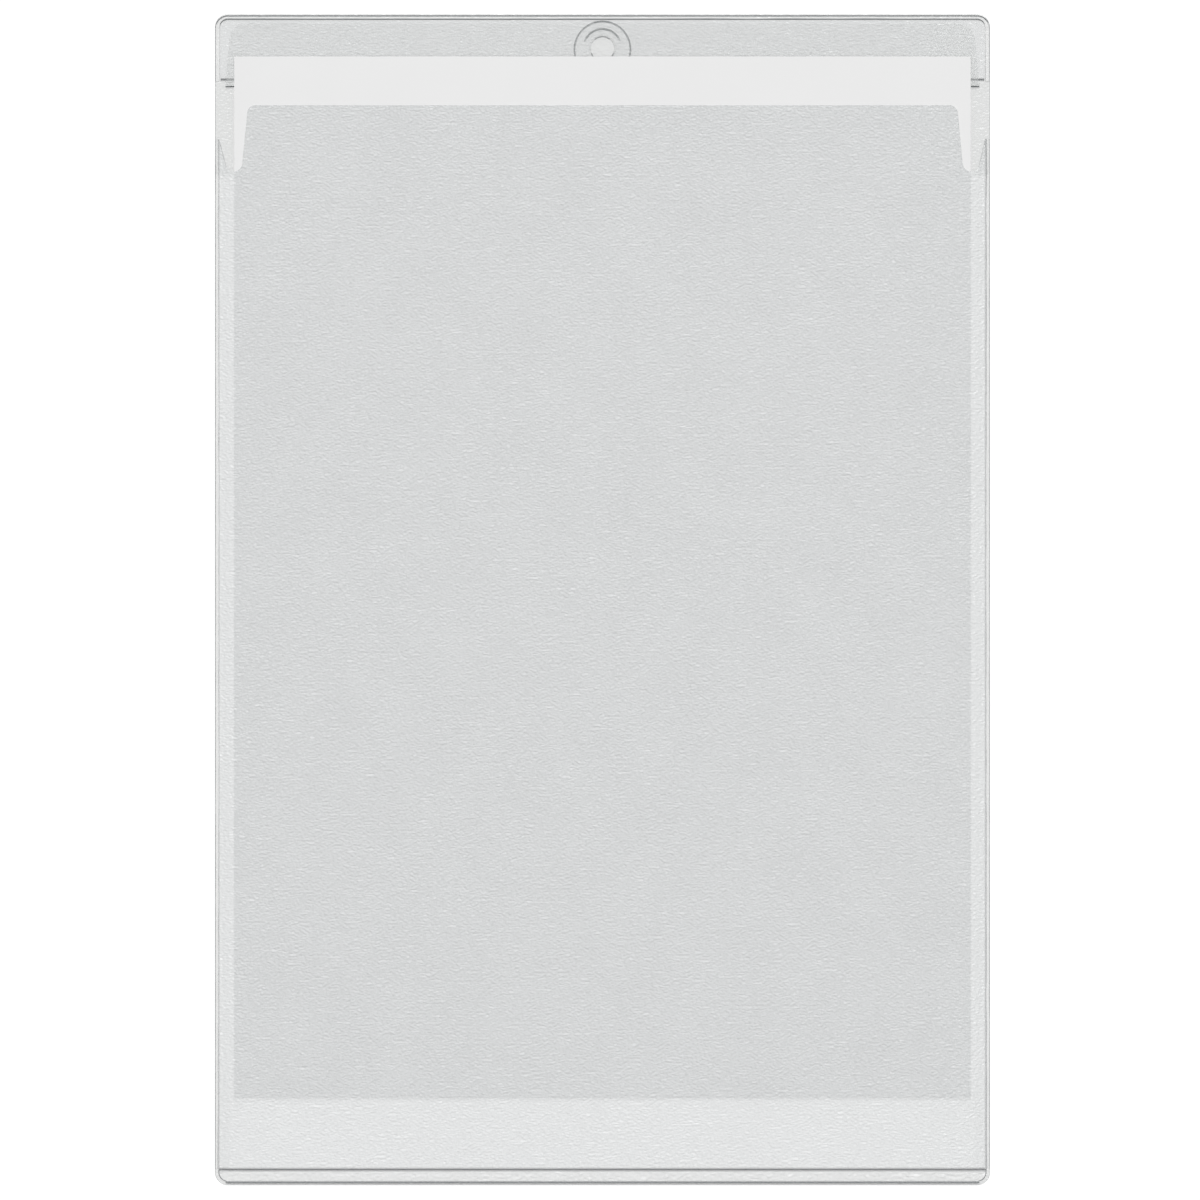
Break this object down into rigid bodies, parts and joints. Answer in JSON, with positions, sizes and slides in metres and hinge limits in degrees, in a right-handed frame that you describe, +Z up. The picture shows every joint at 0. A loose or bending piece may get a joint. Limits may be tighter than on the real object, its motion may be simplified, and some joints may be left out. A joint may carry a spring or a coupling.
{
  "type": "clear plastic sleeve",
  "caption": "Clear film pocket for an A4 sheet, with a punched header, a clear hanging eyelet, a folding closing flap and a removable paper sheet.",
  "frame": {"origin": "middle of the lying pocket's underside", "axes": "+X across the pocket to the right, +Y along it towards the eyelet, +Z up through the front film"},
  "size_m": [0.221, 0.334, 0.0013],
  "materials": {
    "clear_film": "soft clear film with a fine leather grain",
    "welded_film": "glossy pressed weld",
    "clear_eyelet": "smooth clear moulded ring",
    "paper": "matte uncoated white paper"
  },
  "bodies": {
    "sleeve": {"back_panel": "clear_film", "front_panel": "clear_film", "header_rear_left": "clear_film", "header_rear_right": "clear_film", "header_front_left": "clear_film", "header_front_right": "clear_film", "flap_hem": "clear_film", "side_weld_left": "welded_film", "side_weld_right": "welded_film", "bottom_weld": "welded_film", "top_weld": "welded_film", "header_weld_left": "welded_film", "header_weld_right": "welded_film", "cross_weld": "welded_film", "eyelet_ring": "clear_eyelet"},
    "flap": {"flap_panel": "clear_film"},
    "sheet": {"insert_sheet": "paper"}
  },
  "joints": [
    {"name": "flap_hinge", "type": "hinge", "parent": "sleeve", "child": "flap", "pos_m": [0, 0.1463, 0.0011], "axis": [1, 0, 0], "range_deg": [0, 178], "deforming": ["flap_panel"]},
    {"name": "sheet_slide", "type": "slide", "parent": "sleeve", "child": "sheet", "axis": [0, 1, 0], "range_m": [-0.02, 0.31]}
  ]
}
